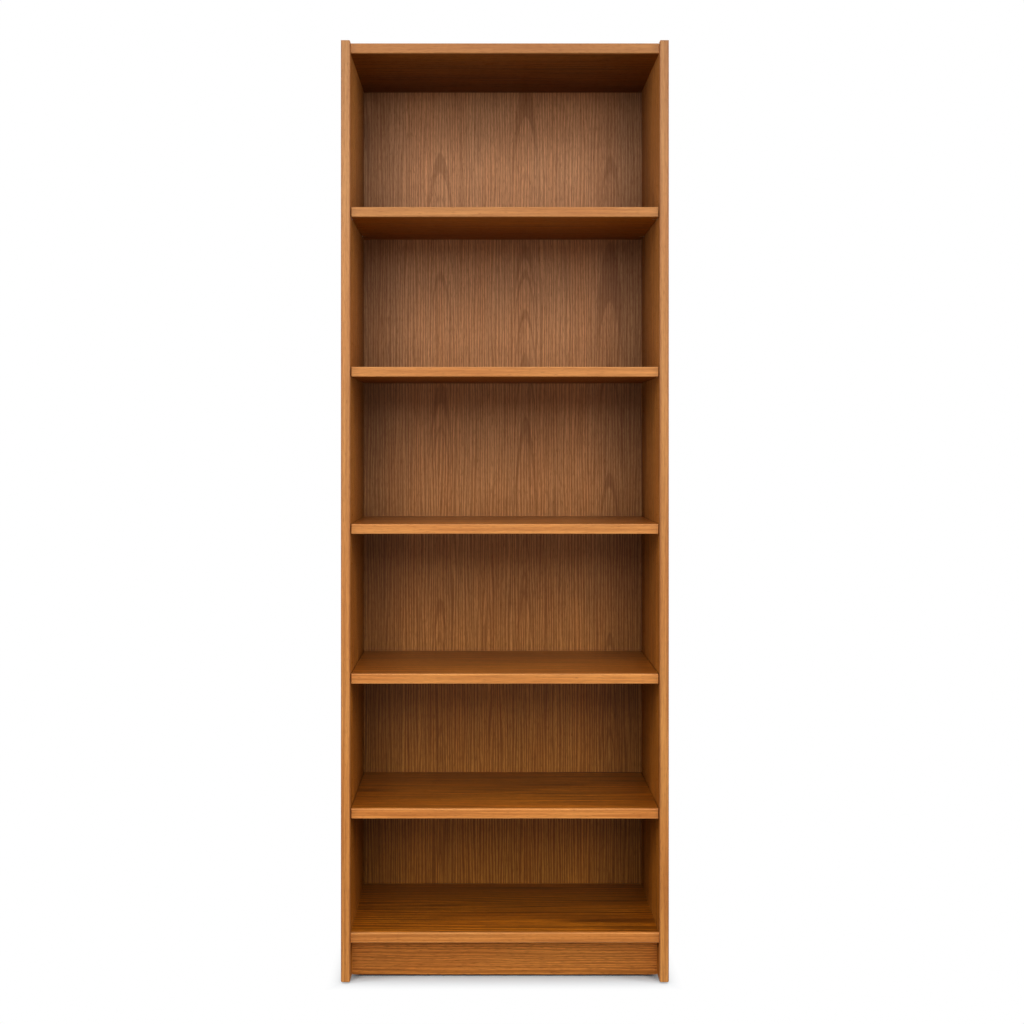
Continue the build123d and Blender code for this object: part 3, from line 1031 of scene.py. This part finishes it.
def makeCamBolts():
    start, points, size = newTree("camBolt", camBolt)
    shank = size["Shank Diameter"] * 0.5
    eased = shank * 0.9  # radius of the bevelled end faces
    neck = size["Neck Diameter"] * 0.5
    foot = size["Thread Length"]
    neckStart = size["Neck Start"]
    neckEnd = neckStart + size["Neck Length"]
    tip = neckEnd + size["Head Length"]
    rows = [
        (0.0, foot), (eased, foot), (shank, foot + size["Shank Bevel"]),
        (shank, neckStart - size["Neck Slope"]), (neck, neckStart),
        (neck, neckEnd), (shank, neckEnd + size["Head Slope"]),
        (shank, tip - size["Head Bevel"]), (eased, tip), (0.0, tip),
    ]
    body = turnedShape(start, rows, facets["camBolt"])
    thread = threadedRod(
        start,
        radius=size["Thread Diameter"] * 0.5,
        low=0.0,
        length=foot * 1.05,  # reaches into the shank
        pitch=size["Thread Pitch"],
        depth=size["Thread Depth"],
        turns=8,
        point=0.001,
    )
    closeTree(start, points, joinSolids(start, [body, thread]), steelFinish)
    setFasteners("camBolts", start, camBolt, seatsInSides("cam_bolts"), ["cam_bolts"])


# Fluted dowels
dowel = {
    "Diameter": 0.0080,
    "Length": 0.0300,
    "Chamfer": 0.0010,
    "Flute Depth": 0.00035,
    "Flute Start": 0.0020,  # radii between which the flutes deepen
    "Flute Full": 0.0035,
    "Flutes": 14,
}


def makeDowels():
    start, points, size = newTree("woodDowel", dowel)
    radius = size["Diameter"] * 0.5
    length = size["Length"]
    chamfer = size["Chamfer"]

    def fluted(row, angle):
        wave = angle.math("COSINE", angle * size["Flutes"])
        wave = wave.math("MAXIMUM", wave, 0.0)
        return row - wave * size["Flute Depth"] * ease(row, size["Flute Start"], size["Flute Full"])

    rows = [
        (0.0, 0.0), (radius - chamfer, 0.0), (radius, chamfer), (radius, length - chamfer),
        (radius - chamfer, length), (0.0, length),
    ]
    shape = turnedShape(start, rows, facets["dowel"], fluted)
    closeTree(start, points, shape, smallFinish("dowelWood", dowelWood, dowelStretch))
    places = seatsBelow("wood_dowels", (1, 0, 0), (0, 0, 1))
    setFasteners("woodDowels", start, dowel, places, ["wood_dowels"])


# Cover caps over the cam locks in the top panel
cap = {
    "Diameter": 0.0180,
    "Thickness": 0.0012,
    "Stem Diameter": 0.0038,
    "Stem Length": 0.0018,
}
plasticFinish = smallFinish("brownPlastic", brownPlastic)


def makeCaps():
    start, points, size = newTree("coverCap", cap)
    radius = size["Diameter"] * 0.5
    thick = size["Thickness"]
    stem = size["Stem Diameter"] * 0.5
    foot = size["Stem Length"] * -1
    rows = [
        (0.0, foot), (stem * 0.9, foot), (stem, foot * 0.85), (stem, 0.0),  # stem
        (radius, 0.0), (radius, thick * 0.35), (radius * 0.98, thick * 0.62),  # rounded rim
        (radius * 0.94, thick * 0.80), (radius * 0.86, thick * 0.90),
        (radius * 0.5, thick * 0.98), (0.0, thick),  # slight crown
    ]
    closeTree(start, points, turnedShape(start, rows, facets["cap"]), plasticFinish)
    places = seatsUnderHeads("cam_caps", (0, 0, 1), cap["Thickness"])
    setFasteners("coverCaps", start, cap, places, ["cam_caps"])


# Floor glides, each with its nail
glide = {
    "Diameter": 0.0120,
    "Height": 0.0030,
    "Edge": 0.0008,
    "Nail Diameter": 0.0025,
    "Nail Length": 0.0140,
}


def makeGlides():
    start, points, size = newTree("floorGlide", glide)
    radius = size["Diameter"] * 0.5
    high = size["Height"]
    edge = size["Edge"]
    nail = size["Nail Diameter"] * 0.5
    tip = high + size["Nail Length"]
    rows = [
        (0.0, 0.0), (radius - edge, 0.0), (radius - edge * 0.4, edge * 0.2),  # rounded foot
        (radius - edge * 0.1, edge * 0.5), (radius, edge),
        (radius, high - edge * 0.3), (radius - edge * 0.3, high),
        (nail, high), (nail, tip - nail * 2), (0.0, tip),  # nail
    ]
    closeTree(start, points, turnedShape(start, rows, facets["glide"]), plasticFinish)
    places = seatsBelow("floor_glides", (0, 0, 1), (1, 0, 0))
    setFasteners("floorGlides", start, glide, places, ["floor_glides"])


# Shelf pins, with a collar against the side and a flat on top that carries the shelf
pin = {
    "Diameter": 0.0049,
    "Stem Length": 0.0095,
    "Lead": 0.0010,
    "Collar Diameter": 0.0070,
    "Collar Thickness": 0.0010,
    "Head Length": 0.0080,
    "Flat Depth": 0.0005,
    "Edge": 0.0003,
}


def makePins():
    start, points, size = newTree("shelfPin", pin)
    radius = size["Diameter"] * 0.5
    lead = size["Lead"]
    collar = size["Collar Diameter"] * 0.5
    edge = size["Edge"]
    foot = size["Stem Length"]
    rim = foot + size["Collar Thickness"]
    head = size["Head Length"]
    tip = rim + head
    rows = [
        (0.0, 0.0), (radius - lead, 0.0), (radius, lead), (radius, foot),  # stem
        (collar, foot), (collar, rim - edge), (collar - edge, rim),  # collar
        (radius, rim), (radius, tip - edge * 2), (radius - edge * 0.6, tip - edge * 0.6),  # rounded head
        (radius - edge * 2, tip), (0.0, tip),
    ]
    body = turnedShape(start, rows, facets["pin"])
    flatMiddle = (radius - size["Flat Depth"] + radius * 0.5, 0.0, rim + head)
    flat = blockShape(start, (radius, radius * 3, head * 2), flatMiddle)  # wider and longer than the head
    closeTree(start, points, cutAway(start, body, [flat]), steelFinish)
    replaced = [node for node in nodes if node.endswith("_pins")]
    places = [place for node in replaced for place in seatsInSides(node)]
    setFasteners("shelfPins", start, pin, places, replaced)


makeScrews()
makeCamLocks()
makeCamBolts()
makeDowels()
makeCaps()
makeGlides()
makePins()
print("fasteners ready")

# Studio: pale floor, white surround, soft lamps in front, beside and behind
studio = {
    "floorHalf": 30.0,
    "floorShade": tint(0.585, 0.63, 0.655),  # takes back the warm light that the wood throws on it
    "floorGlow": 0.02,
    "floorBounce": 0.16,
    "contact": 0.03,  # reach of the dark line where the case meets the floor
    "contactShade": 0.02,
    "contactSpan": (0.2, 0.68),
    "glowStart": -0.035,  # the floor turns plain white over this stretch, measured from the footprint's edge
    "glowEnd": 0.03,
    "surroundBase": 0.01,
    "surroundTop": 0.93,
}
lamps = {  # place, aim, size, power
    "keyLamp": ((0, -3.4, 3.2), (0, 0, 0.95), (4.4, 1.2), 49.0),
    "frontLamp": ((0, -3.6, 2.1), (0, 0, 1.2), (3.0, 0.8), 27.0),
    "lowLamp": ((0, -3.6, 0.45), (0, 0, 0.6), (3.0, 0.5), 6.5),
    "leftLamp": ((-3.0, -1.0, 1.4), (0, -0.1, 0.95), (0.8, 1.6), 57.0),
    "rightLamp": ((3.0, -1.0, 1.4), (0, -0.1, 0.95), (0.8, 1.6), 57.0),
    "rearLamp": ((0.6, 3.4, 2.4), (0, 0, 0.9), (2.6, 1.8), 80.0),
}
view = {
    "place": (-0.0404, -2.4904, 1.0477),
    "lens": 42.71,
    "sensor": 36.0,
    "aim": (0.02305, -0.0565),  # slopes of the middle ray, to the right and up, for each metre ahead
}


def seenDirectly(start):
    path = start.add("ShaderNodeLightPath")
    mirrored = path.math("MAXIMUM", path.other("Is Glossy Ray"), path.other("Is Transmission Ray"))
    return path.math("MAXIMUM", path.other("Is Camera Ray"), mirrored)


def makeFloor():
    material, start = startMaterial("paleFloor")
    places = splitUp(start.add("ShaderNodeTexCoord", output="Object"))
    gaps = [places[axis].math("ABSOLUTE", places[axis]) - cadBox[1]["xyz".index(axis)] for axis in "xy"]
    far = ease(gaps[0].math("MAXIMUM", *gaps), studio["glowStart"], studio["glowEnd"])
    openness = start.add("ShaderNodeAmbientOcclusion", {"samples": 8}, {"Distance": studio["contact"]}, "AO")
    openness = ease(openness, *studio["contactSpan"])
    shade = blendColours(openness, grey(studio["contactShade"]), studio["floorShade"])
    shade = start.add("ShaderNodeBsdfDiffuse", {}, {"Color": shade})
    glow = start.add("ShaderNodeEmission", {}, {"Color": grey(1), "Strength": studio["floorGlow"]})
    white = start.add("ShaderNodeEmission", {}, {"Color": grey(1), "Strength": 1.0})
    near = start.add("ShaderNodeAddShader", {}, {0: shade, 1: glow})
    look = start.add("ShaderNodeMixShader", {}, {0: far, 1: near, 2: white})
    bounce = start.add("ShaderNodeBsdfDiffuse", {}, {"Color": grey(studio["floorBounce"])})
    closeMaterial(start, start.add("ShaderNodeMixShader", {}, {0: seenDirectly(start), 1: bounce, 2: look}))
    half = studio["floorHalf"]
    corners = [(-half, -half, 0), (half, -half, 0), (half, half, 0), (-half, half, 0)]
    mesh = bpy.data.meshes.new("floor")
    mesh.from_pydata(corners, [], [(0, 1, 2, 3)])
    mesh.materials.append(material)
    floor = bpy.data.objects.new("floor", mesh)
    scene.collection.objects.link(floor)


# Brighter overhead than at the horizon, and plain white where it is seen
def makeSurround():
    world = bpy.data.worlds.new("surround")
    world.use_nodes = True
    world.node_tree.nodes.clear()
    start = Wire(world.node_tree)
    height = splitUp(start.add("ShaderNodeTexCoord", output="Generated"))["z"]
    level = height.math("MAXIMUM", height, 0.0) * studio["surroundTop"] + studio["surroundBase"]
    light = start.add("ShaderNodeBackground", {}, {"Color": grey(1), "Strength": level})
    white = start.add("ShaderNodeBackground", {}, {"Color": grey(1), "Strength": 1.0})
    look = start.add("ShaderNodeMixShader", {}, {0: seenDirectly(start), 1: light, 2: white})
    start.add("ShaderNodeOutputWorld", {}, {"Surface": look})
    scene.world = world


def makeLamp(name, place, aim, size, power):
    lamp = bpy.data.lights.new(name, "AREA")
    lamp.shape = "RECTANGLE"
    lamp.size, lamp.size_y = size
    lamp.energy = power
    holder = bpy.data.objects.new(name, lamp)
    holder.location = place
    holder.rotation_euler = (Vector(aim) - Vector(place)).to_track_quat("-Z", "Y").to_euler()
    scene.collection.objects.link(holder)


def makeCamera():
    data = bpy.data.cameras.new("camera")
    data.sensor_width = view["sensor"]
    data.lens = view["lens"]
    camera = bpy.data.objects.new("camera", data)
    camera.location = view["place"]
    camera.rotation_euler = (math.radians(90), 0, 0)  # level, looking along +Y
    scene.collection.objects.link(camera)
    scene.camera = camera
    # The mount slants the line of sight but not the picture plane, so that uprights stay upright
    mount = bpy.data.objects.new("cameraMount", None)
    scene.collection.objects.link(mount)
    slant = Matrix.Identity(4)
    slant[0][1], slant[2][1] = view["aim"]
    place = Matrix.Translation(view["place"])
    camera.parent = mount
    camera.matrix_parent_inverse = place @ slant @ place.inverted()


makeFloor()
makeSurround()
for name, settings in lamps.items():
    makeLamp(name, *settings)
makeCamera()
scene.view_settings.view_transform = "Standard"
print("studio ready")
